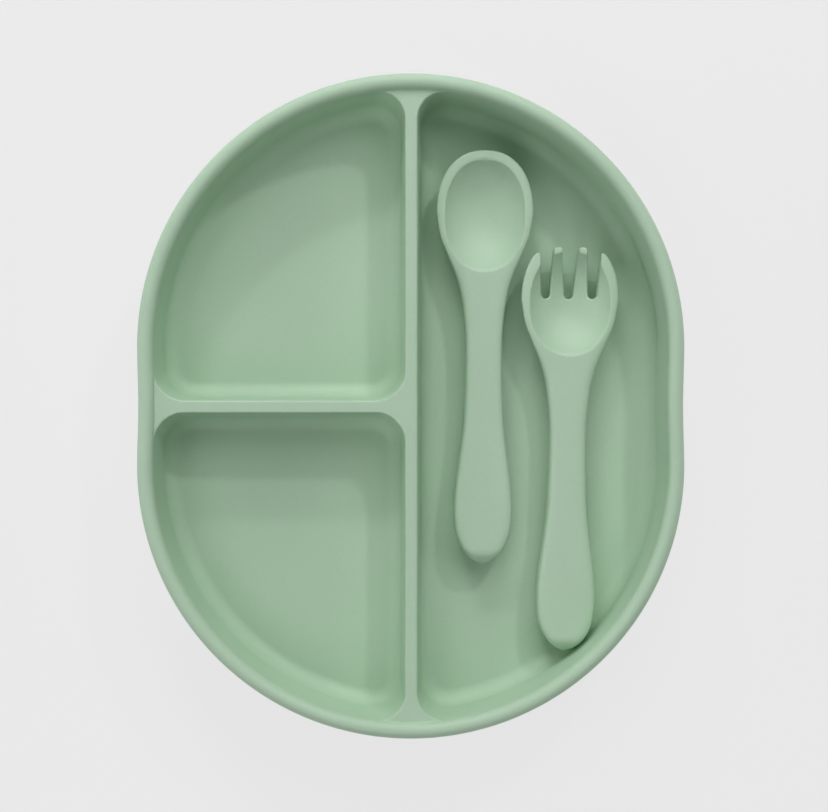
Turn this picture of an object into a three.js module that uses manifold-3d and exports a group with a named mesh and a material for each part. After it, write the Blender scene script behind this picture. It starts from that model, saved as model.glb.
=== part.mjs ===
// A divided suction bowl in soft silicone, with a matching spoon and fork lying in its long compartment.
// Units are millimetres. +Z is up and +Y is the bowl's long axis.
// The origin is on the table, under the bowl's centre.
import * as THREE from "three";
import { mergeVertices } from "three/addons/utils/BufferGeometryUtils.js";
import Module from "manifold-3d";

const wasm = await Module();
wasm.setup();

// The tray's plan: two half circles, whose centres are apart, joined by nearly straight sides.
const ARC_RADIUS = 91;
const ARC_CENTRE = 19.6;
const SIDE_DIP = 0.4;

// Heights above the table.
const TRAY_BOTTOM = 10;
const FLOOR = 13;
const DIVIDER_TOP = 35.5;
const RIM_TOP = 38;

// The tray's walls.
const RIM_WIDTH = 5.3;
const WALL_DRAFT = 0.07;
const WALL_THICKNESS = 3.1;
const FLOOR_FILLET = 7;
const BASE_FILLET = 10;
const TOP_FILLET = 0.4;
const CORNER_RADIUS = 10;
const DIVIDER_THICKNESS = 4.1;
const DIVIDER_X = 0.2;
const DIVIDER_Y = -0.2;

// The four suction cups, each plugged into a boss under the floor.
const CUP_X = 41;
const CUP_Y = 52;
const TAB_ANGLE = THREE.MathUtils.degToRad(19);
const BOSS_RADIUS = 8.5;
const BOSS_BOTTOM = 5.2;
const SOCKET_RADIUS = 4.3;
const SOCKET_MOUTH_RADIUS = 3.7;
const SOCKET_TOP = 11.8;
const SOCKET_LEDGE = 7.4;
const HUB_RADIUS = 9.4;
const HUB_BOTTOM = 2;
const LIP_RADIUS = 24.4;
const TAB_LENGTH = 9;
const TAB_WIDTH = 9;
const TAB_BOTTOM = 0.4;
const TAB_THICKNESS = 1.3;

// The cutlery, measured from the handle's tip (0) to the head's tip.
const CUTLERY_LENGTH = 140.2;
const HEAD_CENTRE = 119;
const HEAD_HALF_WIDTH = 16.45;
const HEAD_POWER = 2.25;
const TOP = 12.8;
const SPOON_BOWL = 118.4;
const SPOON_BOWL_HALF_LENGTH = 18.7;
const FORK_BOWL = 118.1;
const FORK_BOWL_HALF_LENGTH = 17.3;
const BOWL_HALF_WIDTH = 13.9;
const BOWL_DEPTH = 8.2;
const BOWL_RISE = 8; // how high the middle of the bowl's ellipsoid is above the bowl's edge
const CORE_START = 12;
const CORE_END = 96;
const CAVITY_INSET = 2.6;
const PIN_HOLE_RADIUS = 1.2;
const PIN_HOLE_AT = 24;

const GAP = 0.3; // between faces that touch on the real object

const RIM_POINTS = 84;
const COMPARTMENT_POINTS = 64;
const SECTION_POINTS = 20;
const LATHE_SEGMENTS = 24;
const TURN_WEIGHT = 45; // millimetres of outline that a turn of one radian counts for

const silicone = (name, color) =>
  new THREE.MeshStandardMaterial({ name, color, roughness: 0.55, metalness: 0 });
const TRAY_SILICONE = silicone("tray_silicone", 0xa3bda4);
const CUP_SILICONE = silicone("cup_silicone", 0x9cb79e);
const CUTLERY_SILICONE = silicone("cutlery_silicone", 0xa5c0a7);
const CORE_NYLON = new THREE.MeshStandardMaterial({
  name: "core_nylon",
  color: 0xe6e4da,
  roughness: 0.6,
  metalness: 0,
});

// ---------- geometry helpers ----------

// A closed geometry through rings of equal length, each counter-clockwise seen from the last ring's side.
function loft(rings) {
  const count = rings[0].length;
  const points = rings.flat();
  const faces = [];
  for (let r = 0; r < rings.length - 1; r++)
    for (let i = 0; i < count; i++) {
      const a = r * count + i;
      const b = r * count + ((i + 1) % count);
      faces.push(a, b, b + count, a, b + count, a + count);
    }
  const capEnd = (ring, start, forward) => {
    const middle = ring.reduce((sum, p) => sum.add(p), new THREE.Vector3());
    points.push(middle.divideScalar(count));
    const centre = points.length - 1;
    for (let i = 0; i < count; i++) {
      const a = start + i;
      const b = start + ((i + 1) % count);
      faces.push(centre, ...(forward ? [a, b] : [b, a]));
    }
  };
  capEnd(rings[0], 0, false);
  capEnd(rings.at(-1), (rings.length - 1) * count, true);
  return new THREE.BufferGeometry().setFromPoints(points).setIndex(faces);
}

// A geometry as a manifold-3d solid.
function solid(geometry) {
  const bare = geometry.clone();
  bare.deleteAttribute("normal");
  bare.deleteAttribute("uv");
  const merged = mergeVertices(bare, 1e-4);
  return new wasm.Manifold(
    new wasm.Mesh({
      numProp: 3,
      vertProperties: merged.getAttribute("position").array,
      triVerts: new Uint32Array(merged.index.array),
    }),
  );
}

// A manifold-3d solid as a geometry.
function geometryOf(made) {
  const { vertProperties, triVerts } = made.getMesh();
  return new THREE.BufferGeometry()
    .setAttribute("position", new THREE.BufferAttribute(vertProperties, 3))
    .setIndex(new THREE.BufferAttribute(triVerts, 1));
}

function named(name, geometry, material) {
  const mesh = new THREE.Mesh(geometry, material);
  mesh.name = name;
  return mesh;
}

// A solid turned about Z from [radius, height] pairs, moved to (x, y).
function turned(profile, x = 0, y = 0) {
  const points = profile.map(([radius, height]) => new THREE.Vector2(radius, height));
  return new THREE.LatheGeometry(points, LATHE_SEGMENTS).rotateX(Math.PI / 2).translate(x, y, 0);
}

// A smooth curve through [position, value] pairs, as a function of the position.
function curve(pairs) {
  const slope = (i) => {
    const [a, b] = [pairs[Math.max(i - 1, 0)], pairs[Math.min(i + 1, pairs.length - 1)]];
    return (b[1] - a[1]) / (b[0] - a[0]);
  };
  return (at) => {
    const next = pairs.findIndex(([position]) => position >= at);
    const i = next < 0 ? pairs.length - 2 : Math.max(next - 1, 0);
    const [[p0, v0], [p1, v1]] = [pairs[i], pairs[i + 1]];
    const span = p1 - p0;
    const t = THREE.MathUtils.clamp((at - p0) / span, 0, 1);
    const [t2, t3] = [t * t, t * t * t];
    return (
      (2 * t3 - 3 * t2 + 1) * v0 +
      (t3 - 2 * t2 + t) * span * slope(i) +
      (3 * t2 - 2 * t3) * v1 +
      (t3 - t2) * span * slope(i + 1)
    );
  };
}

// ---------- the tray ----------

// How far (x, y) lies outside the rim's outer edge, negative inside.
function rimField(x, y) {
  const oval = Math.hypot(x, Math.max(Math.abs(y) - ARC_CENTRE, 0)) - ARC_RADIUS;
  return oval + SIDE_DIP * Math.max(1 - (y / ARC_CENTRE) ** 2, 0) ** 2;
}

// The overlap of two fields, with its edge rounded to a radius.
function rounded(a, b, radius) {
  const corner = Math.hypot(Math.max(radius + a, 0), Math.max(radius + b, 0));
  return Math.min(-radius, Math.max(a, b)) + corner;
}

// The three compartments: a point inside each, and its faces on the dividers.
const half = DIVIDER_THICKNESS / 2;
const COMPARTMENTS = [
  {
    centre: [-40, 42],
    faces: [(x) => x - DIVIDER_X + half, (x, y) => DIVIDER_Y + half - y],
  },
  {
    centre: [-40, -42],
    faces: [(x) => x - DIVIDER_X + half, (x, y) => y - DIVIDER_Y + half],
  },
  { centre: [34, 0], faces: [(x) => DIVIDER_X + half - x] },
];

// A horizontal ring where a field is zero, seen from (cx, cy) in the given directions.
function outline(field, [cx, cy], angles, z) {
  return angles.map((angle) => {
    const [dx, dy] = [Math.cos(angle), Math.sin(angle)];
    let [near, far] = [0, 2 * ARC_RADIUS];
    for (let step = 0; step < 40; step++) {
      const middle = (near + far) / 2;
      if (field(cx + middle * dx, cy + middle * dy) < 0) near = middle;
      else far = middle;
    }
    return new THREE.Vector3(cx + near * dx, cy + near * dy, z);
  });
}

// Directions from a centre that follow a field's outline closely: they crowd where it turns.
function directions(field, centre, count) {
  const even = Array.from({ length: 720 }, (_, i) => (2 * Math.PI * i) / 720);
  const ring = outline(field, centre, even, 0);
  const walked = [0];
  ring.forEach((point, i) => {
    const back = point.clone().sub(ring.at(i - 1));
    const ahead = ring[(i + 1) % ring.length].clone().sub(point);
    walked.push(walked.at(-1) + ahead.length() + TURN_WEIGHT * back.angleTo(ahead));
  });
  return Array.from({ length: count }, (_, i) => {
    const target = (walked.at(-1) * i) / count;
    const next = walked.findIndex((distance) => distance > target);
    const share = (target - walked[next - 1]) / (walked[next] - walked[next - 1]);
    return (2 * Math.PI * (next - 1 + share)) / 720;
  });
}

// Rings inside the rim's outer edge, from [height, inset] pairs.
const rimAngles = directions(rimField, [0, 0], RIM_POINTS);
const rimRings = (profile) =>
  profile.map(([z, inset]) => outline((x, y) => rimField(x, y) + inset, [0, 0], rimAngles, z));

// A quarter circle from the flat end of a fillet up to its wall, as [height, inset] pairs.
function fillet(z, inset, radius, steps) {
  return Array.from({ length: steps + 1 }, (_, i) => {
    const angle = (Math.PI / 2) * (i / steps);
    return [z + radius * (1 - Math.cos(angle)), inset + radius * (1 - Math.sin(angle))];
  });
}

function trayShell() {
  const wallInset = RIM_WIDTH - WALL_THICKNESS;
  const baseInset = wallInset + WALL_DRAFT * (DIVIDER_TOP - TRAY_BOTTOM - BASE_FILLET);
  return solid(
    loft(
      rimRings([
        ...fillet(TRAY_BOTTOM, baseInset, BASE_FILLET, 4),
        [RIM_TOP - 5.3, wallInset],
        [RIM_TOP - 4.6, 0.7],
        [RIM_TOP - 3.3, 0],
        [RIM_TOP - 2.1, 0],
        [RIM_TOP - 1.1, 0.5],
        [RIM_TOP - 0.4, 1.3],
        [RIM_TOP, 2.2],
      ]),
    ),
  );
}

// A compartment's rings are [height, inset, flare]: the flare rounds the top of the dividers.
function compartment({ centre, faces }) {
  const fieldAt = (inset, flare) => (x, y) =>
    faces.reduce(
      (value, face) => rounded(value, face(x, y) + inset - flare, CORNER_RADIUS + 0.35 * inset),
      rimField(x, y) + RIM_WIDTH + inset,
    );
  const angles = directions(fieldAt(0, 0), centre, COMPARTMENT_POINTS);
  const wallInset = WALL_DRAFT * (DIVIDER_TOP - FLOOR - FLOOR_FILLET);
  const profile = [
    ...fillet(FLOOR, wallInset, FLOOR_FILLET, 4),
    [DIVIDER_TOP - TOP_FILLET, WALL_DRAFT * TOP_FILLET],
    [DIVIDER_TOP - 0.3 * TOP_FILLET, 0, 0.3 * TOP_FILLET],
    [DIVIDER_TOP, 0, TOP_FILLET],
    [RIM_TOP + 1, 0, TOP_FILLET],
  ];
  return solid(
    loft(profile.map(([z, inset, flare = 0]) => outline(fieldAt(inset, flare), centre, angles, z))),
  );
}

// The space above the dividers, which stand a little lower than the rim.
function basin() {
  return solid(
    loft(
      rimRings([
        [DIVIDER_TOP, RIM_WIDTH],
        [RIM_TOP - 1.1, RIM_WIDTH - 0.5],
        [RIM_TOP - 0.4, RIM_WIDTH - 1.3],
        [RIM_TOP, RIM_WIDTH - 2.2],
        [RIM_TOP + 1, RIM_WIDTH - 2.5],
      ]),
    ),
  );
}

const CUPS = [
  { name: "back_left", x: -CUP_X, y: CUP_Y, turn: Math.PI - TAB_ANGLE },
  { name: "back_right", x: CUP_X, y: CUP_Y, turn: TAB_ANGLE },
  { name: "front_left", x: -CUP_X, y: -CUP_Y, turn: Math.PI + TAB_ANGLE },
  { name: "front_right", x: CUP_X, y: -CUP_Y, turn: -TAB_ANGLE },
];

function trayBody() {
  let body = COMPARTMENTS.reduce((left, room) => left.subtract(compartment(room)), trayShell());
  body = body.subtract(basin());
  for (const { x, y } of CUPS) {
    const boss = turned(
      [
        [0, BOSS_BOTTOM],
        [BOSS_RADIUS, BOSS_BOTTOM],
        [BOSS_RADIUS + 0.4, TRAY_BOTTOM + 1],
        [0, TRAY_BOTTOM + 1],
      ],
      x,
      y,
    );
    const socket = turned(
      [
        [0, BOSS_BOTTOM - 1],
        [SOCKET_MOUTH_RADIUS, BOSS_BOTTOM - 1],
        [SOCKET_MOUTH_RADIUS, SOCKET_LEDGE],
        [SOCKET_RADIUS, SOCKET_LEDGE + 0.6],
        [SOCKET_RADIUS, SOCKET_TOP],
        [0, SOCKET_TOP],
      ],
      x,
      y,
    );
    body = body.add(solid(boss)).subtract(solid(socket));
  }
  return named("tray_body", geometryOf(body), TRAY_SILICONE);
}

// ---------- the suction cups ----------

// The hub of a cup, with the barbed stud that snaps into the tray's socket.
function cupHub({ name, x, y }) {
  const geometry = turned(
    [
      [0, HUB_BOTTOM],
      [HUB_RADIUS, HUB_BOTTOM + 0.5],
      [HUB_RADIUS, BOSS_BOTTOM - 0.7],
      [HUB_RADIUS - 1.2, BOSS_BOTTOM - GAP],
      [SOCKET_MOUTH_RADIUS - GAP, BOSS_BOTTOM - GAP],
      [SOCKET_MOUTH_RADIUS - GAP, SOCKET_LEDGE + 0.9],
      [SOCKET_RADIUS - GAP, SOCKET_LEDGE + 1.4],
      [SOCKET_RADIUS - GAP, SOCKET_TOP - 1.5],
      [SOCKET_RADIUS - 1.6, SOCKET_TOP - GAP],
      [0, SOCKET_TOP - GAP],
    ],
    x,
    y,
  );
  return named(`cup_hub_${name}`, geometry, CUP_SILICONE);
}

// The flexible skirt around the hub, which flattens on the table.
function cupSkirt({ name, x, y }) {
  const geometry = turned(
    [
      [HUB_RADIUS + 0.4, 2.6],
      [15, 2],
      [19.5, 1],
      [22, 0],
      [LIP_RADIUS - 0.3, 0],
      [LIP_RADIUS, 0.5],
      [LIP_RADIUS - 0.6, 1.2],
      [20.5, 2.4],
      [15, 3.9],
      [HUB_RADIUS + 0.4, 4.7],
      [HUB_RADIUS + 0.4, 2.6],
    ],
    x,
    y,
  );
  return named(`cup_skirt_${name}`, geometry, CUP_SILICONE);
}

// The pull tab on a skirt's lip, which breaks the seal when it is peeled up.
function cupTab({ name, x, y, turn }) {
  const root = LIP_RADIUS + GAP;
  const [side, corner] = [TAB_WIDTH / 2, 3.4];
  const end = root + TAB_LENGTH;
  const shape = new THREE.Shape()
    .moveTo(root, -side)
    .lineTo(end - corner, -side)
    .quadraticCurveTo(end, -side, end, -side + corner)
    .lineTo(end, side - corner)
    .quadraticCurveTo(end, side, end - corner, side)
    .lineTo(root, side);
  const geometry = new THREE.ExtrudeGeometry(shape, {
    depth: TAB_THICKNESS,
    bevelEnabled: false,
    curveSegments: 6,
  }).translate(0, 0, TAB_BOTTOM);
  const mesh = named(`cup_tab_${name}`, geometry, CUP_SILICONE);
  mesh.position.set(x, y, 0);
  mesh.rotation.z = turn;
  return mesh;
}

// ---------- the spoon and the fork ----------

const handleHalfWidth = curve([
  [0, 0.5],
  [0.8, 2.2],
  [1.8, 3.8],
  [3.3, 5.5],
  [5.6, 7.2],
  [8.5, 8.6],
  [12, 9.5],
  [18, 9.9],
  [26, 9.5],
  [34, 8.5],
  [46, 7],
  [60, 6.3],
  [76, 6.2],
  [85, 6.9],
  [92, 8],
  [98, 9.7],
  [105, 12.6],
  [111, 15],
  [HEAD_CENTRE, HEAD_HALF_WIDTH],
]);
const topHeight = curve([
  [0, 7.5],
  [1.2, 10.2],
  [2.8, 12],
  [4.5, 12.7],
  [6.5, TOP],
  [CUTLERY_LENGTH, TOP],
]);
const bottomHeight = curve([
  [0, 5.6],
  [3, 3.8],
  [9, 1.3],
  [20, 0],
  [32, 0.6],
  [54, 3.2],
  [76, 5.2],
  [89, 4.7],
  [99, 2.6],
  [109, 0.6],
  [118, 0],
  [126, 0.7],
  [133, 3.5],
  [137.5, 7.4],
  [CUTLERY_LENGTH, 11],
]);
// The height of the widest level, as a share of the thickness, and the section's squareness.
const waistShare = curve([
  [0, 0.5],
  [88, 0.55],
  [106, 0.84],
  [CUTLERY_LENGTH, 0.8],
]);
const squareness = curve([
  [0, 3.5],
  [18, 7],
  [50, 5],
  [84, 3.6],
  [CUTLERY_LENGTH, 2.8],
]);

function halfWidth(at) {
  if (at < HEAD_CENTRE) return handleHalfWidth(at);
  const share = (at - HEAD_CENTRE) / (CUTLERY_LENGTH - HEAD_CENTRE);
  return HEAD_HALF_WIDTH * Math.pow(1 - Math.pow(share, HEAD_POWER), 1 / HEAD_POWER);
}

// The cross-section of the cutlery at a distance from the handle's tip, drawn in by an inset.
function section(at, inset) {
  const [top, bottom] = [topHeight(at) - inset, bottomHeight(at) + inset];
  const waist = bottom + waistShare(at) * (top - bottom);
  const width = halfWidth(at) - inset;
  const power = 2 / squareness(at);
  const bend = (value) => Math.sign(value) * Math.pow(Math.abs(value), power);
  return Array.from({ length: SECTION_POINTS }, (_, i) => {
    const angle = (2 * Math.PI * i) / SECTION_POINTS;
    const [across, up] = [bend(Math.sin(angle)), bend(Math.cos(angle))];
    const height = up > 0 ? top - waist : waist - bottom;
    return new THREE.Vector3(width * across, at, waist + height * up);
  });
}

// A loft of sections from one distance to another, closer together towards both ends.
function bar(from, to, count, inset) {
  const places = Array.from(
    { length: count + 1 },
    (_, i) => (from + to - (to - from) * Math.cos((Math.PI * i) / count)) / 2,
  );
  return loft(places.map((at) => section(at, inset)));
}

// A cap of an ellipsoid whose plan is squarer than an ellipse, as the head's is.
function bowlHollow(centre, halfLength) {
  const depth = BOWL_DEPTH + BOWL_RISE;
  const spread = 1 / Math.sqrt(1 - (BOWL_RISE / depth) ** 2);
  const bowl = new THREE.SphereGeometry(1, 24, 20);
  const at = bowl.attributes.position;
  for (let i = 0; i < at.count; i++) {
    const [x, y] = [at.getX(i), at.getY(i)];
    const sum = Math.pow(Math.abs(x), HEAD_POWER) + Math.pow(Math.abs(y), HEAD_POWER);
    const grow = sum > 0 ? Math.hypot(x, y) / Math.pow(sum, 1 / HEAD_POWER) : 1;
    at.setXY(i, x * grow, y * grow);
  }
  return bowl
    .scale(spread * BOWL_HALF_WIDTH, spread * halfLength, depth)
    .translate(0, centre, TOP + BOWL_RISE);
}

// The silicone body that the spoon and the fork share, hollow around its core.
function cutleryBody(bowl) {
  const tip = CUTLERY_LENGTH - 0.2;
  const pinHole = new THREE.CylinderGeometry(PIN_HOLE_RADIUS, PIN_HOLE_RADIUS, 6, 12)
    .rotateX(Math.PI / 2)
    .translate(0, PIN_HOLE_AT, 0.6);
  return solid(bar(0, tip, 28, 0))
    .subtract(solid(bowl))
    .subtract(solid(bar(CORE_START, CORE_END, 9, CAVITY_INSET)))
    .subtract(solid(pinHole));
}

// The gap between two tines, widening from its round root to the tips.
function slot(side) {
  const [root, end] = [121.4, CUTLERY_LENGTH + 2];
  const centre = side * 8;
  const [rootHalf, endHalf] = [1.45, side ? 2.7 : 3.3];
  const drift = side * 0.1;
  const shape = new THREE.Shape()
    .moveTo(centre + drift + endHalf, end)
    .lineTo(centre - endHalf + drift, end)
    .lineTo(centre - rootHalf, root)
    .absarc(centre, root, rootHalf, Math.PI, 2 * Math.PI, false);
  return solid(
    new THREE.ExtrudeGeometry(shape, { depth: 20, bevelEnabled: false, curveSegments: 6 }),
  );
}

// What is trimmed off beyond the tines' tips, which end in a shallow arc.
function tipTrim() {
  const radius = 30;
  const [middle, end] = [137.3 - radius, CUTLERY_LENGTH + 4];
  const shape = new THREE.Shape()
    .absarc(0, middle, radius, Math.PI * 0.8, Math.PI * 0.2, true)
    .lineTo(radius, end)
    .lineTo(-radius, end);
  return solid(
    new THREE.ExtrudeGeometry(shape, { depth: 30, bevelEnabled: false, curveSegments: 16 }),
  );
}

function cutleryCore(name) {
  const start = CORE_START + GAP;
  const core = bar(start, CORE_END - GAP, 9, CAVITY_INSET + GAP);
  return named(name, core, CORE_NYLON);
}

// A utensil laid on the floor: its handle's tip at (x, y), turned in plan.
function laid(x, y, lift, turn, ...meshes) {
  const group = new THREE.Group().add(...meshes);
  group.position.set(x, y, FLOOR + lift);
  group.rotation.z = THREE.MathUtils.degToRad(turn);
  return group;
}

function spoon() {
  const bowl = bowlHollow(SPOON_BOWL, SPOON_BOWL_HALF_LENGTH);
  const body = named("spoon_body", geometryOf(cutleryBody(bowl)), CUTLERY_SILICONE);
  return laid(24.4, -53.7, GAP, -0.37, body, cutleryCore("spoon_core"));
}

function fork() {
  const blank = cutleryBody(bowlHollow(FORK_BOWL, FORK_BOWL_HALF_LENGTH));
  const cut = [-1, 0, 1].reduce((left, side) => left.subtract(slot(side)), blank);
  const body = named("fork_body", geometryOf(cut.subtract(tipTrim())), CUTLERY_SILICONE);
  return laid(52.3, -83.3, 2 * GAP, -0.8, body, cutleryCore("fork_core"));
}

const suctionBowl = new THREE.Group();
suctionBowl.add(trayBody(), spoon(), fork());
for (const cup of CUPS) suctionBowl.add(cupHub(cup), cupSkirt(cup), cupTab(cup));

export default suctionBowl;
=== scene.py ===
"""Looks for a divided silicone suction bowl with its spoon and fork. Shapes are in millimetres."""

import math

import bpy
import numpy as np
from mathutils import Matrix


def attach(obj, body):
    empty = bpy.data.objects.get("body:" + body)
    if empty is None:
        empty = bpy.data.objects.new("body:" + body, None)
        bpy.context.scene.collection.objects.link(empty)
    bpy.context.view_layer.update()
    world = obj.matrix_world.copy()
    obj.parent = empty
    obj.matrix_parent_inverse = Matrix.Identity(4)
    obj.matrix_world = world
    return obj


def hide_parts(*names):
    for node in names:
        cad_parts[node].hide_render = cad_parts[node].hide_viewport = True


MM = 0.001

# The tray, as in the CAD model but for the radius where a compartment's wall meets its floor.
ARC_RADIUS = 91
ARC_CENTRE = 19.6
SIDE_DIP = 0.4
TRAY_BOTTOM = 10
FLOOR = 13
DIVIDER_TOP = 35.5
RIM_TOP = 38
RIM_WIDTH = 5.3
WALL_DRAFT = 0.07
WALL_THICKNESS = 3.1
FLOOR_FILLET = 5
BASE_FILLET = 10
CORNER_RADIUS = 10
TOP_FILLET = 0.4
DIVIDER_THICKNESS = 4.1
DIVIDER_X = 0.2
DIVIDER_Y = -0.2
BEAD_HEIGHT = 5.3
BEAD_ROUND = 2.6
BEAD_FILLET = 0.4
CORNER_GROWTH = 0.35
TRAY_STEP = 0.6
TRAY_TRIANGLES = 220000

# The suction cups.
CUP_X = 41
CUP_Y = 52
TAB_ANGLE = math.radians(19)
BOSS_RADIUS = 8.7
BOSS_BOTTOM = 5.2
BOSS_ROUND = 0.5
BOSS_FILLET = 1.2
BOSS_SUNK = 1.5
SOCKET_RADIUS = 4.3
SOCKET_MOUTH_RADIUS = 3.7
SOCKET_TOP = 11.8
SOCKET_LEDGE = 7.7
HUB_RADIUS = 9.4
HUB_BOTTOM = 2
LIP_RADIUS = 24.4
TAB_LENGTH = 9
TAB_WIDTH = 9
TAB_BOTTOM = 0.4
TAB_THICKNESS = 1.3
TAB_ROUND = 0.4
TAB_TIP_RADIUS = 3.4
TAB_STEP = 0.28
RIB_RADIUS = 0.4
RIB_HALF_LENGTH = 2.4
RIB_FILLET = 0.25
GAP = 0.3

# The cutlery, measured from the handle's tip (0) to the head's tip.
CUTLERY_LENGTH = 140.2
HEAD_CENTRE = 119
HEAD_HALF_WIDTH = 16.45
HEAD_POWER = 2.25
TOP = 12.8
SPOON_BOWL = 118.4
SPOON_BOWL_HALF_LENGTH = 18.7
FORK_BOWL = 118.1
FORK_BOWL_HALF_LENGTH = 17.3
BOWL_HALF_WIDTH = 13.9
BOWL_DEPTH = 8.2
BOWL_RISE = 8
LIP_ROUND = 0.9
HANDLE_END_ROUND = 0.5
CUTLERY_STEP = 0.45

# The fork's tines: a round front edge, and three slots that widen towards it.
FRONT_EDGE_RADIUS = 30
FRONT_EDGE_CENTRE = 107.3
FRONT_EDGE_ROUND = 0.7
SLOT_ROOT = 121.4
SLOT_END = CUTLERY_LENGTH + 2
SLOT_PITCH = 8
SLOT_LEAN = 0.1
SLOT_HALF_WIDTH = 1.45
MIDDLE_SLOT_FLARE = 1.85
SIDE_SLOT_FLARE = 1.25
SLOT_ROUND = 0.8

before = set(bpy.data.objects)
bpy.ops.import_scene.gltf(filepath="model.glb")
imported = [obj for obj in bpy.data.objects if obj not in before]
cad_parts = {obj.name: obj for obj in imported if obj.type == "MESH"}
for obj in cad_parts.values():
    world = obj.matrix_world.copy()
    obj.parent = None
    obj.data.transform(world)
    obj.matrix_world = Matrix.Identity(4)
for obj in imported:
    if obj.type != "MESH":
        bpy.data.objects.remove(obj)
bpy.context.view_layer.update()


# ---------- fields: negative inside, in millimetres ----------


def rounded(a, b, radius):
    """The overlap of two fields, with its edge rounded."""
    corner = np.hypot(np.maximum(radius + a, 0), np.maximum(radius + b, 0))
    return np.minimum(-radius, np.maximum(a, b)) + corner


def joined(a, b, radius):
    """Two fields together, with a fillet between them."""
    return -rounded(-a, -b, radius)


def rim_field(x, y):
    """How far a point in plan is outside the rim, whose long sides dip in a little."""
    oval = np.hypot(x, np.maximum(np.abs(y) - ARC_CENTRE, 0)) - ARC_RADIUS
    return oval + SIDE_DIP * np.maximum(1 - (y / ARC_CENTRE) ** 2, 0) ** 2


def rounded_box(across, up, half_across, half_up, radius):
    a, b = np.abs(across) - half_across + radius, np.abs(up) - half_up + radius
    return np.hypot(np.maximum(a, 0), np.maximum(b, 0)) + np.minimum(np.maximum(a, b), 0) - radius


CUPS = (
    ("back_left", -CUP_X, CUP_Y, math.pi - TAB_ANGLE),
    ("back_right", CUP_X, CUP_Y, TAB_ANGLE),
    ("front_left", -CUP_X, -CUP_Y, math.pi + TAB_ANGLE),
    ("front_right", CUP_X, -CUP_Y, -TAB_ANGLE),
)


def tray_outside(x, y, z, rim, draft):
    """The tray as a solid block up to the dividers' tops, with the cups' bosses."""
    inset = RIM_WIDTH - WALL_THICKNESS
    wall = rounded((rim + inset + draft) / math.hypot(1, WALL_DRAFT), TRAY_BOTTOM - z, BASE_FILLET)
    outside = np.maximum(wall, z - DIVIDER_TOP)
    for _, cx, cy, _ in CUPS:
        from_axis = np.hypot(x - cx, y - cy)
        boss = rounded(from_axis - BOSS_RADIUS, BOSS_BOTTOM - z, BOSS_ROUND)
        outside = joined(outside, np.maximum(boss, z - TRAY_BOTTOM - BOSS_SUNK), BOSS_FILLET)
    return outside


def compartments(x, y, z, rim, draft):
    """The three compartments, open at the top."""
    half = DIVIDER_THICKNESS / 2
    radius = CORNER_RADIUS + CORNER_GROWTH * draft
    side = rim + RIM_WIDTH + draft
    left = rounded(side, x - DIVIDER_X + half + draft, radius)
    plan = rounded(side, DIVIDER_X + half - x + draft, radius)
    plan = np.minimum(plan, rounded(left, DIVIDER_Y + half - y + draft, radius))
    plan = np.minimum(plan, rounded(left, y - DIVIDER_Y + half + draft, radius))
    return rounded(plan / math.hypot(1, WALL_DRAFT), FLOOR - z, FLOOR_FILLET)


def tray(x, y, z):
    rim = rim_field(x, y)
    draft = WALL_DRAFT * (DIVIDER_TOP - z)
    body = rounded(tray_outside(x, y, z, rim, draft), -compartments(x, y, z, rim, draft), TOP_FILLET)
    middle = (rim + RIM_WIDTH / 2, z - RIM_TOP + BEAD_HEIGHT / 2)
    bead = rounded_box(*middle, RIM_WIDTH / 2, BEAD_HEIGHT / 2, BEAD_ROUND)
    body = joined(body, bead, BEAD_FILLET)
    for _, cx, cy, _ in CUPS:
        from_axis = np.hypot(x - cx, y - cy)
        mouth = np.maximum(from_axis - SOCKET_MOUTH_RADIUS, z - SOCKET_LEDGE - 0.5)
        hole = np.maximum(from_axis - SOCKET_RADIUS, np.maximum(z - SOCKET_TOP, SOCKET_LEDGE - z))
        body = np.maximum(body, -np.minimum(mouth, hole))
    return body


def curve(*pairs):
    """A smooth curve through (position, value) pairs, as a function of the position."""
    at, value = np.array(pairs, float).T
    low, high = np.maximum(np.arange(len(at)) - 1, 0), np.minimum(np.arange(len(at)) + 1, len(at) - 1)
    slope = (value[high] - value[low]) / (at[high] - at[low])

    def smooth(position):
        i = np.clip(np.searchsorted(at, position) - 1, 0, len(at) - 2)
        span = at[i + 1] - at[i]
        t = np.clip((position - at[i]) / span, 0, 1)
        return (
            (2 * t**3 - 3 * t**2 + 1) * value[i]
            + (t**3 - 2 * t**2 + t) * span * slope[i]
            + (3 * t**2 - 2 * t**3) * value[i + 1]
            + (t**3 - t**2) * span * slope[i + 1]
        )

    return smooth


handle_half_width = curve(
    (0, 0.5),
    (0.8, 2.2),
    (1.8, 3.8),
    (3.3, 5.5),
    (5.6, 7.2),
    (8.5, 8.6),
    (12, 9.5),
    (18, 9.9),
    (26, 9.5),
    (34, 8.5),
    (46, 7),
    (60, 6.3),
    (76, 6.2),
    (85, 6.9),
    (92, 8),
    (98, 9.7),
    (105, 12.6),
    (111, 15),
    (HEAD_CENTRE, HEAD_HALF_WIDTH),
)
top_height = curve(
    (0, 7.5),
    (1.2, 10.2),
    (2.8, 12),
    (4.5, 12.7),
    (6.5, TOP),
    (CUTLERY_LENGTH, TOP),
)
bottom_height = curve(
    (0, 5.6),
    (3, 3.8),
    (9, 1.3),
    (20, 0),
    (32, 0.6),
    (54, 3.2),
    (76, 5.2),
    (89, 4.7),
    (99, 2.6),
    (109, 0.6),
    (118, 0),
    (126, 0.7),
    (133, 3.5),
    (137.5, 7.4),
    (CUTLERY_LENGTH, 11),
)
waist_share = curve((0, 0.5), (88, 0.55), (106, 0.84), (CUTLERY_LENGTH, 0.8))
squareness = curve((0, 3.5), (18, 7), (50, 5), (84, 3.6), (CUTLERY_LENGTH, 2.8))


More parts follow.
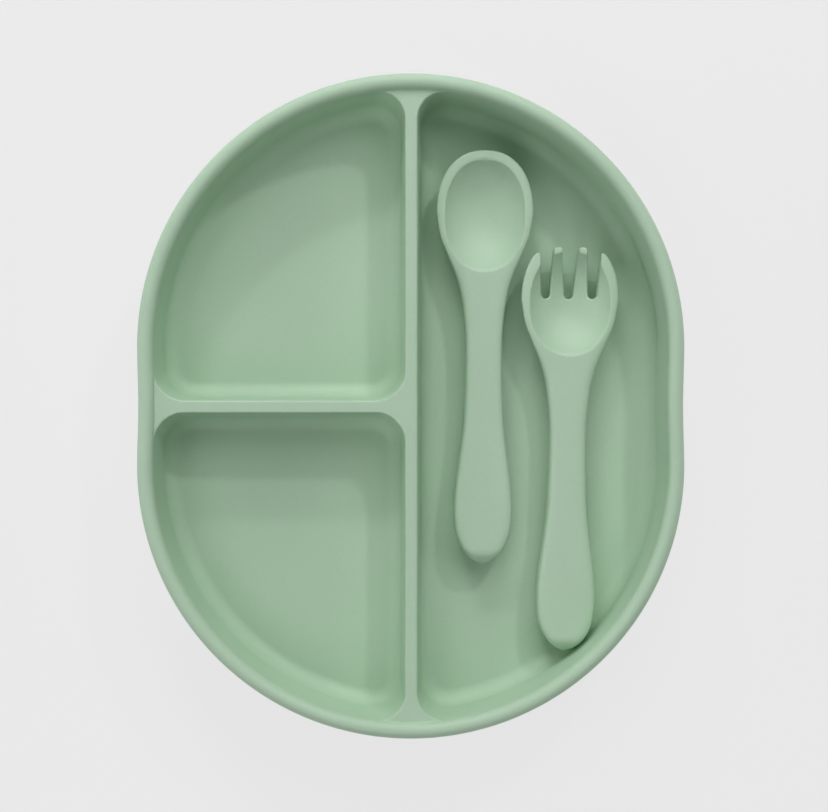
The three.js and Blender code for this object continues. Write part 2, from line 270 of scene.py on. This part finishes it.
def half_width(at):
    share = np.clip((at - HEAD_CENTRE) / (CUTLERY_LENGTH - HEAD_CENTRE), 0, 1)
    head = HEAD_HALF_WIDTH * (1 - share**HEAD_POWER) ** (1 / HEAD_POWER)
    return np.maximum(np.where(at < HEAD_CENTRE, handle_half_width(at), head), 0.01)


def from_share(share, reach, least):
    """Distance to a surface from a point at a share of the way out to it, at a reach from its centre."""
    return (share - 1) * np.where(share > 0.1, reach / np.maximum(share, 0.1), least)


def blank(x, y, z):
    """The solid that the spoon and the fork are cut from."""
    top, bottom, width, power = top_height(y), bottom_height(y), half_width(y), squareness(y)
    waist = bottom + waist_share(y) * (top - bottom)
    up = z - waist
    height = np.where(up > 0, top - waist, waist - bottom)
    share = (np.abs(x / width) ** power + np.abs(up / height) ** power) ** (1 / power)
    skin = from_share(share, np.hypot(x, up), np.minimum(width, height))
    return np.maximum(rounded(skin, -y, HANDLE_END_ROUND), y - CUTLERY_LENGTH)


def dished(x, y, z, centre, half_length):
    """The blank with its bowl, a cap of an ellipsoid whose plan is as square as the head's."""
    depth = BOWL_DEPTH + BOWL_RISE
    along, up = y - centre, z - TOP - BOWL_RISE
    plan = np.abs(x / BOWL_HALF_WIDTH) ** HEAD_POWER + np.abs(along / half_length) ** HEAD_POWER
    plan = plan ** (2 / HEAD_POWER) * (1 - (BOWL_RISE / depth) ** 2)
    share = np.sqrt(plan + (up / depth) ** 2)
    bowl = from_share(share, np.sqrt(x**2 + along**2 + up**2), depth)
    return rounded(blank(x, y, z), -bowl, LIP_ROUND)


def spoon(x, y, z):
    return dished(x, y, z, SPOON_BOWL, SPOON_BOWL_HALF_LENGTH)


def fork(x, y, z):
    front = np.hypot(x, np.maximum(y - FRONT_EDGE_CENTRE, 0)) - FRONT_EDGE_RADIUS
    head = rounded(dished(x, y, z, FORK_BOWL, FORK_BOWL_HALF_LENGTH), front, FRONT_EDGE_ROUND)
    share = np.clip((y - SLOT_ROOT) / (SLOT_END - SLOT_ROOT), 0, 1)
    for side in (-1, 0, 1):
        from_axis = x - SLOT_PITCH * side
        flare = SIDE_SLOT_FLARE if side else MIDDLE_SLOT_FLARE
        straight = np.abs(from_axis - SLOT_LEAN * side * share) - SLOT_HALF_WIDTH - flare * share
        round_end = np.hypot(from_axis, y - SLOT_ROOT) - SLOT_HALF_WIDTH
        slot = np.where(y > SLOT_ROOT, straight, round_end)
        head = rounded(head, -slot, SLOT_ROUND)
    return head


def tab(x, y, z):
    """A pull tab with three grip ribs, its root at x = 0 and its far end round."""
    middle = TAB_LENGTH / 2
    top = TAB_BOTTOM + TAB_THICKNESS
    plan = rounded_box(x - middle, y, middle, TAB_WIDTH / 2, TAB_ROUND)
    long_plan = rounded_box(x - middle + 4, y, middle + 4, TAB_WIDTH / 2, TAB_TIP_RADIUS)
    plan = rounded(plan, long_plan, 0.1)
    slab = rounded(plan, np.abs(z - top + TAB_THICKNESS / 2) - TAB_THICKNESS / 2, TAB_ROUND)
    for at in (3.2, 5, 6.8):
        across = np.hypot(x - at, np.maximum(np.abs(y) - RIB_HALF_LENGTH, 0))
        slab = joined(slab, np.hypot(across, z - top) - RIB_RADIUS, RIB_FILLET)
    return slab


# ---------- fields to meshes ----------


def slope_of(field, points, delta=0.01):
    return np.stack(
        [(field(*(points + e).T) - field(*(points - e).T)) / (2 * delta) for e in delta * np.eye(3)], 1
    )


def crossings(values):
    """Each grid edge whose ends differ in sign: axis, lower corner, share along it, and its direction."""
    for axis in range(3):
        low = np.take(values, range(values.shape[axis] - 1), axis)
        high = np.take(values, range(1, values.shape[axis]), axis)
        found = np.nonzero((low < 0) != (high < 0))
        share = low[found] / (low[found] - high[found])
        yield axis, np.stack(found, 1), share, low[found] < 0


def surface_net(field, low, high, step):
    """Points and quads of the surface where a field is zero, one point in each grid cell that it crosses."""
    low = np.array(low, float) - 1.37 * step
    counts = np.ceil((np.array(high) - low) / step).astype(int) + 3
    xs, ys, zs = (start + step * np.arange(n) for start, n in zip(low, counts))
    across, up = np.meshgrid(ys, zs, indexing="ij")
    values = np.stack([field(np.full_like(across, x), across, up) for x in xs])
    cells = np.array(values.shape)
    size = int(cells.prod())
    sums, hits, quads = np.zeros((3, size)), np.zeros(size), []
    for axis, corner, share, outward in crossings(values):
        point = corner.astype(float)
        point[:, axis] += share
        around = []
        for b, c in ((0, 0), (-1, 0), (-1, -1), (0, -1)):
            cell = corner.copy()
            cell[:, (axis + 1) % 3] += b
            cell[:, (axis + 2) % 3] += c
            around.append(np.ravel_multi_index(cell.T, cells))
            hits += np.bincount(around[-1], minlength=size)
            for d in range(3):
                sums[d] += np.bincount(around[-1], weights=point[:, d], minlength=size)
        quad = np.stack(around, 1)
        quads.append(np.where(outward[:, None], quad, quad[:, ::-1]))
    used = np.nonzero(hits)[0]
    number = np.zeros(size, int)
    number[used] = np.arange(len(used))
    points = (sums[:, used] / hits[used]).T * step + low
    return points, number[np.concatenate(quads)]


def onto(field, points, step):
    """The points moved onto a field's surface."""
    for _ in range(2):
        slope = slope_of(field, points)
        move = field(*points.T)[:, None] * slope / np.maximum((slope**2).sum(1), 1e-6)[:, None]
        length = np.linalg.norm(move, axis=1, keepdims=True)
        points = points - move * np.minimum(1, 0.5 * step / np.maximum(length, 1e-9))
    return points


def evened(field, points, quads, step, rounds):
    """The points spread more evenly over a field's surface."""
    uses = np.bincount(quads.ravel(), minlength=len(points))
    for _ in range(rounds):
        middles = points[quads].mean(1)
        spread = np.stack(
            [np.bincount(quads.ravel(), np.repeat(middles[:, d], 4), len(points)) for d in range(3)], 1
        )
        points = onto(field, (points + spread / uses[:, None]) / 2, step)
    return points


def shaded(obj, normals):
    obj.data.shade_smooth()
    obj.data.normals_split_custom_set_from_vertices(normals)


def make(name, points, faces):
    mesh = bpy.data.meshes.new(name)
    mesh.from_pydata(points.tolist(), [], faces.tolist())
    mesh.update()
    obj = bpy.data.objects.new(name, mesh)
    bpy.context.collection.objects.link(obj)
    return obj


def thinned(obj, faces):
    """The object with about that many triangles, fewest where it is flat."""
    triangles = sum(len(p.vertices) - 2 for p in obj.data.polygons)
    if triangles <= faces:
        return
    modifier = obj.modifiers.new("thin", "DECIMATE")
    modifier.ratio = faces / triangles
    graph = bpy.context.evaluated_depsgraph_get()
    mesh = bpy.data.meshes.new_from_object(obj.evaluated_get(graph))
    obj.modifiers.clear()
    obj.data = mesh


def placed(points, at=(0, 0, 0), turn=0.0):
    """Points turned about Z and moved."""
    c, s = math.cos(turn), math.sin(turn)
    return points @ np.array([[c, s, 0], [-s, c, 0], [0, 0, 1]]) + np.array(at, float)


def moulded(name, field, low, high, step, faces=60000, rounds=3, at=(0, 0, 0), turn=0.0):
    """A piece with the surface of a field, put where the frame has it."""
    points, quads = surface_net(field, low, high, step)
    points = evened(field, points, quads, step, rounds)
    obj = make(name, points, quads)
    thinned(obj, faces)
    vertices = np.empty(len(obj.data.vertices) * 3)
    obj.data.vertices.foreach_get("co", vertices)
    points = onto(field, vertices.reshape(-1, 3), step)
    normals = slope_of(field, points)
    normals /= np.linalg.norm(normals, axis=1, keepdims=True)
    world = placed(points, at, turn) * MM
    obj.data.vertices.foreach_set("co", world.ravel())
    shaded(obj, placed(normals, turn=turn))
    return obj


def softened(profile, radius, closed):
    """Points and normals of a profile of (radius, height) pairs, with its corners rounded."""
    profile = [np.array(p, float) for p in profile]
    count = len(profile)
    points, normals = [], []
    for i, corner in enumerate(profile):
        if not closed and i in (0, count - 1):
            other = profile[1] if i == 0 else profile[-2]
            ahead = (other - corner) if i == 0 else (corner - other)
            steps = [(corner, ahead)]
        else:
            back, ahead = profile[i - 1] - corner, profile[(i + 1) % count] - corner
            cut = [min(radius / np.linalg.norm(v), 0.45) * v for v in (back, ahead)]
            start, end = corner + cut[0], corner + cut[1]
            steps = [
                (
                    (1 - t) ** 2 * start + 2 * t * (1 - t) * corner + t * t * end,
                    (1 - t) * (corner - start) + t * (end - corner),
                )
                for t in np.linspace(0, 1, 6)
            ]
        for point, along in steps:
            points.append(point)
            normals.append(np.array([along[1], -along[0]]) / np.linalg.norm(along))
    return np.array(points), np.array(normals)


def turned(name, profile, centre, radius=0.5, closed=False, segments=96):
    """A piece turned about a vertical axis, from a profile that runs counter-clockwise."""
    points, normals = softened(profile, radius, closed)
    angles = np.linspace(0, 2 * math.pi, segments, endpoint=False)
    ring = np.stack([np.cos(angles), np.sin(angles)], 1)
    cloud, shade, rows = [], [], []
    for (r, z), (nr, nz) in zip(points, normals):
        if r < 1e-6:
            rows.append([len(cloud)] * segments)
            cloud.append([*centre, z])
            shade.append([0, 0, math.copysign(1, nz)])
            continue
        rows.append(list(range(len(cloud), len(cloud) + segments)))
        cloud += [[centre[0] + r * c, centre[1] + r * s, z] for c, s in ring]
        shade += [[nr * c, nr * s, nz] for c, s in ring]
    if closed:
        rows.append(rows[0])
    faces = []
    for below, above in zip(rows, rows[1:]):
        for i in range(segments):
            j = (i + 1) % segments
            face = dict.fromkeys((below[i], below[j], above[j], above[i]))
            faces.append(list(face))
    mesh = bpy.data.meshes.new(name)
    mesh.from_pydata((np.array(cloud) * MM).tolist(), [], faces)
    obj = bpy.data.objects.new(name, mesh)
    bpy.context.collection.objects.link(obj)
    shaded(obj, np.array(shade))
    return obj


# ---------- materials ----------


def node(tree, kind, inputs=None, **settings):
    made = tree.nodes.new(kind)
    for name, value in settings.items():
        setattr(made, name, value)
    for socket, value in (inputs or {}).items():
        if isinstance(value, bpy.types.NodeSocket):
            tree.links.new(value, made.inputs[socket])
        else:
            made.inputs[socket].default_value = value
    return made


def noise(tree, place, scale, detail=3.0, roughness=0.5):
    made = node(
        tree,
        "ShaderNodeTexNoise",
        {"Vector": place, "Scale": scale, "Detail": detail, "Roughness": roughness},
    )
    return made.outputs[0]


def ramp(tree, factor, low, high, start=0.3, end=0.7):
    made = node(
        tree,
        "ShaderNodeMapRange",
        {"Value": factor, "From Min": start, "From Max": end, "To Min": low, "To Max": high},
    )
    return made.outputs[0]


def mixed(tree, factor, a, b):
    made = node(tree, "ShaderNodeMix", data_type="RGBA")
    for socket, value in ((made.inputs[0], factor), (made.inputs[6], a), (made.inputs[7], b)):
        if isinstance(value, bpy.types.NodeSocket):
            tree.links.new(value, socket)
        else:
            socket.default_value = value
    return made.outputs[2]


def polymer(name, colour, shade, rough, grain, subsurface=0.0):
    """A moulded polymer: faint mottling, fine speckle, uneven gloss and a sand-blasted mould's grain."""
    made = bpy.data.materials.new(name)
    made.use_nodes = True
    tree = made.node_tree
    tree.nodes.clear()
    place = node(tree, "ShaderNodeTexCoord").outputs["Object"]
    cloud = noise(tree, place, 28, 4)
    speck = noise(tree, place, 1400, 2)
    tint = mixed(tree, ramp(tree, cloud, 0, 1), (*colour, 1), (*shade, 1))
    darker = tuple(0.93 * c for c in colour)
    tint = mixed(tree, ramp(tree, speck, 0, 0.35, 0.35, 0.75), tint, (*darker, 1))
    fine = node(
        tree,
        "ShaderNodeBump",
        {"Height": noise(tree, place, 2600, 2), "Strength": grain, "Distance": 0.00004},
    )
    wavy = node(
        tree,
        "ShaderNodeBump",
        {
            "Height": noise(tree, place, 110, 2),
            "Strength": 0.25,
            "Distance": 0.0001,
            "Normal": fine.outputs[0],
        },
    )
    shader = node(
        tree,
        "ShaderNodeBsdfPrincipled",
        {
            "Base Color": tint,
            "Roughness": ramp(tree, noise(tree, place, 60, 3), rough - 0.05, rough + 0.05),
            "Normal": wavy.outputs[0],
            "IOR": 1.43,
            "Specular IOR Level": 0.8,
            "Subsurface Weight": subsurface,
            "Subsurface Scale": 0.001,
            "Subsurface Radius": (1.1, 1.6, 1.0),
        },
    )
    output = node(tree, "ShaderNodeOutputMaterial")
    tree.links.new(shader.outputs[0], output.inputs[0])
    return made


SAGE = (0.45, 0.615, 0.457)
PALE_SAGE = (0.47, 0.635, 0.477)
DEEP_SAGE = (0.425, 0.59, 0.432)
MID_SAGE = (0.445, 0.61, 0.452)
SILICONE_DEPTH = 0.06
TRAY_SILICONE = polymer("tray_silicone_look", SAGE, PALE_SAGE, 0.55, 0.5, SILICONE_DEPTH)
CUP_SILICONE = polymer("cup_silicone_look", DEEP_SAGE, MID_SAGE, 0.42, 0.3, SILICONE_DEPTH)
CUTLERY_SILICONE = polymer("cutlery_silicone_look", SAGE, PALE_SAGE, 0.52, 0.5, SILICONE_DEPTH)
NYLON = polymer("core_nylon_look", (0.78, 0.76, 0.69), (0.74, 0.72, 0.65), 0.5, 0.8)


def finished(obj, material, body, cad_node):
    obj.data.materials.clear()
    obj.data.materials.append(material)
    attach(obj, body)
    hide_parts(cad_node)


# ---------- the pieces ----------

tray_piece = moulded(
    "tray",
    tray,
    (-ARC_RADIUS, -ARC_RADIUS - ARC_CENTRE, BOSS_BOTTOM),
    (ARC_RADIUS, ARC_RADIUS + ARC_CENTRE, RIM_TOP),
    TRAY_STEP,
    faces=TRAY_TRIANGLES,
)
finished(tray_piece, TRAY_SILICONE, "tray", "tray_body")


def laid(name, field, at, degrees):
    """The spoon or the fork, its handle's tip at a place in the tray."""
    piece = moulded(
        name,
        field,
        (-HEAD_HALF_WIDTH, 0, 0),
        (HEAD_HALF_WIDTH, CUTLERY_LENGTH, TOP),
        CUTLERY_STEP,
        at=at,
        turn=math.radians(degrees),
    )
    finished(piece, CUTLERY_SILICONE, name, f"{name}_body")


laid("spoon", spoon, (24.4, -53.7, FLOOR + GAP), -0.37)
laid("fork", fork, (52.3, -83.3, FLOOR + 2 * GAP), -0.8)

for where, cup_x, cup_y, turn in CUPS:
    hub = turned(
        f"hub_{where}",
        [
            (0, HUB_BOTTOM + 0.5),
            (3, HUB_BOTTOM + 0.5),
            (3.6, HUB_BOTTOM),
            (HUB_RADIUS, HUB_BOTTOM + 0.5),
            (HUB_RADIUS, BOSS_BOTTOM - GAP),
            (SOCKET_MOUTH_RADIUS - GAP, BOSS_BOTTOM - GAP),
            (SOCKET_MOUTH_RADIUS - GAP, 8.3),
            (SOCKET_RADIUS - GAP, 8.8),
            (SOCKET_RADIUS - GAP, SOCKET_TOP - 1.5),
            (SOCKET_RADIUS - 1.6, SOCKET_TOP - GAP),
            (0, SOCKET_TOP - GAP),
        ],
        (cup_x, cup_y),
    )
    finished(hub, CUP_SILICONE, "tray", f"cup_hub_{where}")
    skirt = turned(
        f"skirt_{where}",
        [
            (HUB_RADIUS + 0.4, 2.6),
            (15, 2),
            (19.5, 1),
            (22, 0),
            (LIP_RADIUS - 0.3, 0),
            (LIP_RADIUS, 0.5),
            (LIP_RADIUS - 0.6, 1.2),
            (20.5, 2.4),
            (15, 3.9),
            (HUB_RADIUS + 0.4, 4.7),
        ],
        (cup_x, cup_y),
        closed=True,
    )
    finished(skirt, CUP_SILICONE, f"skirt_{where}", f"cup_skirt_{where}")
    root = LIP_RADIUS + GAP
    pull = moulded(
        f"tab_{where}",
        tab,
        (0, -TAB_WIDTH / 2, TAB_BOTTOM),
        (TAB_LENGTH, TAB_WIDTH / 2, TAB_BOTTOM + TAB_THICKNESS + RIB_RADIUS),
        TAB_STEP,
        at=(cup_x + root * math.cos(turn), cup_y + root * math.sin(turn), 0),
        turn=turn,
    )
    finished(pull, CUP_SILICONE, f"tab_{where}", f"cup_tab_{where}")

for core in ("spoon_core", "fork_core"):
    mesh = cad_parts[core].data
    mesh.materials.clear()
    mesh.materials.append(NYLON)


# ---------- the studio ----------


FLOOR_HALF = 30
FLOOR_HEIGHT = -0.0001
FLOOR_GLOW = 0.72
FLOOR_ALBEDO = 0.12
BACKDROP = 0.8


def floor():
    """A pale sweep that glows evenly, so that the bowl's shadow on it stays faint."""
    around = ((-1, -1), (1, -1), (1, 1), (-1, 1))
    corners = np.array([(FLOOR_HALF * a, FLOOR_HALF * b, FLOOR_HEIGHT) for a, b in around])
    obj = make("floor", corners, np.array([(0, 1, 2, 3)]))
    made = bpy.data.materials.new("floor_look")
    made.use_nodes = True
    tree = made.node_tree
    tree.nodes.clear()
    place = node(tree, "ShaderNodeTexCoord").outputs["Object"]
    low, high = FLOOR_GLOW, 1.01 * FLOOR_GLOW
    cloud = ramp(tree, noise(tree, place, 3, 2), 0, 1)
    tint = mixed(tree, cloud, (low, low, low, 1), (high, high, high, 1))
    shader = node(
        tree,
        "ShaderNodeBsdfPrincipled",
        {
            "Base Color": (FLOOR_ALBEDO, FLOOR_ALBEDO, FLOOR_ALBEDO, 1),
            "Roughness": 0.9,
            "Specular IOR Level": 0.0,
            "Emission Color": tint,
            "Emission Strength": 1.0,
        },
    )
    output = node(tree, "ShaderNodeOutputMaterial")
    tree.links.new(shader.outputs[0], output.inputs[0])
    obj.data.materials.append(made)


# Softboxes stand this far from the origin, in metres. Strengths are in watts.
LIGHT_DISTANCE = 1.5
PANEL_SIZE = 0.8
KEY_WATTS = 3.0
BACK_WATTS = 3.0
FRONT_WATTS = 1.75
LOW_WATTS = 2.5
BLACK_LEVEL = 0.02


def light(name, azimuth, elevation, watts, width=PANEL_SIZE, height=PANEL_SIZE):
    """A softbox that faces the origin. Azimuth runs from +Y towards +X."""
    lamp = bpy.data.lights.new(name, "AREA")
    lamp.shape = "DISK" if width == height else "RECTANGLE"
    lamp.size = width
    lamp.size_y = height
    lamp.energy = watts
    obj = bpy.data.objects.new(name, lamp)
    turn, rise = math.radians(azimuth), math.radians(elevation)
    obj.location = (
        LIGHT_DISTANCE * math.sin(turn) * math.cos(rise),
        LIGHT_DISTANCE * math.cos(turn) * math.cos(rise),
        LIGHT_DISTANCE * math.sin(rise),
    )
    obj.rotation_euler = (math.radians(elevation - 90), 0, -turn)
    bpy.context.collection.objects.link(obj)


def lights():
    """Two small key lights from the back, and soft panels that are weaker at the front and the left."""
    light("key", -16, 31.3, KEY_WATTS, 0.35, 0.08)
    light("second_key", 30, 41, KEY_WATTS, 0.1, 0.1)
    for azimuth, elevation in ((0, 55), (0, 35), (45, 55)):
        light(f"back_{azimuth}_{elevation}", azimuth, elevation, BACK_WATTS)
    for azimuth, elevation in ((180, 55), (180, 35), (225, 55), (225, 20), (270, 55)):
        light(f"front_{azimuth}_{elevation}", azimuth, elevation, FRONT_WATTS)
    for azimuth in (-45, 0, 90, 270):
        light(f"low_{azimuth}", azimuth, 20, LOW_WATTS)


def backdrop():
    """A pale surround that is seen but lights nothing."""
    world = bpy.data.worlds.new("studio")
    bpy.context.scene.world = world
    world.use_nodes = True
    tree = world.node_tree
    seen = node(tree, "ShaderNodeLightPath").outputs["Is Camera Ray"]
    background = tree.nodes["Background"]
    background.inputs["Color"].default_value = (BACKDROP, BACKDROP, BACKDROP, 1)
    tree.links.new(seen, background.inputs["Strength"])


def studio():
    backdrop()
    lights()
    view = bpy.context.scene.view_settings
    view.view_transform = "Standard"
    view.use_curve_mapping = True
    view.curve_mapping.black_level = (BLACK_LEVEL, BLACK_LEVEL, BLACK_LEVEL)
    view.curve_mapping.update()


# The camera looks straight down. At the rim's height it sees this width, in millimetres.
CAMERA_ABOVE_RIM = 585
VIEW_WIDTH = 274.2
VIEW_SHIFT = 1.1
SENSOR = 36


def camera():
    data = bpy.data.cameras.new("camera")
    data.sensor_width = SENSOR
    data.lens = SENSOR * CAMERA_ABOVE_RIM / VIEW_WIDTH
    data.shift_x = VIEW_SHIFT / VIEW_WIDTH
    data.clip_start = 0.01
    data.clip_end = 20
    obj = bpy.data.objects.new("camera", data)
    obj.location = (0, 0, (RIM_TOP + CAMERA_ABOVE_RIM) * MM)
    bpy.context.collection.objects.link(obj)
    bpy.context.scene.camera = obj


floor()
studio()
camera()
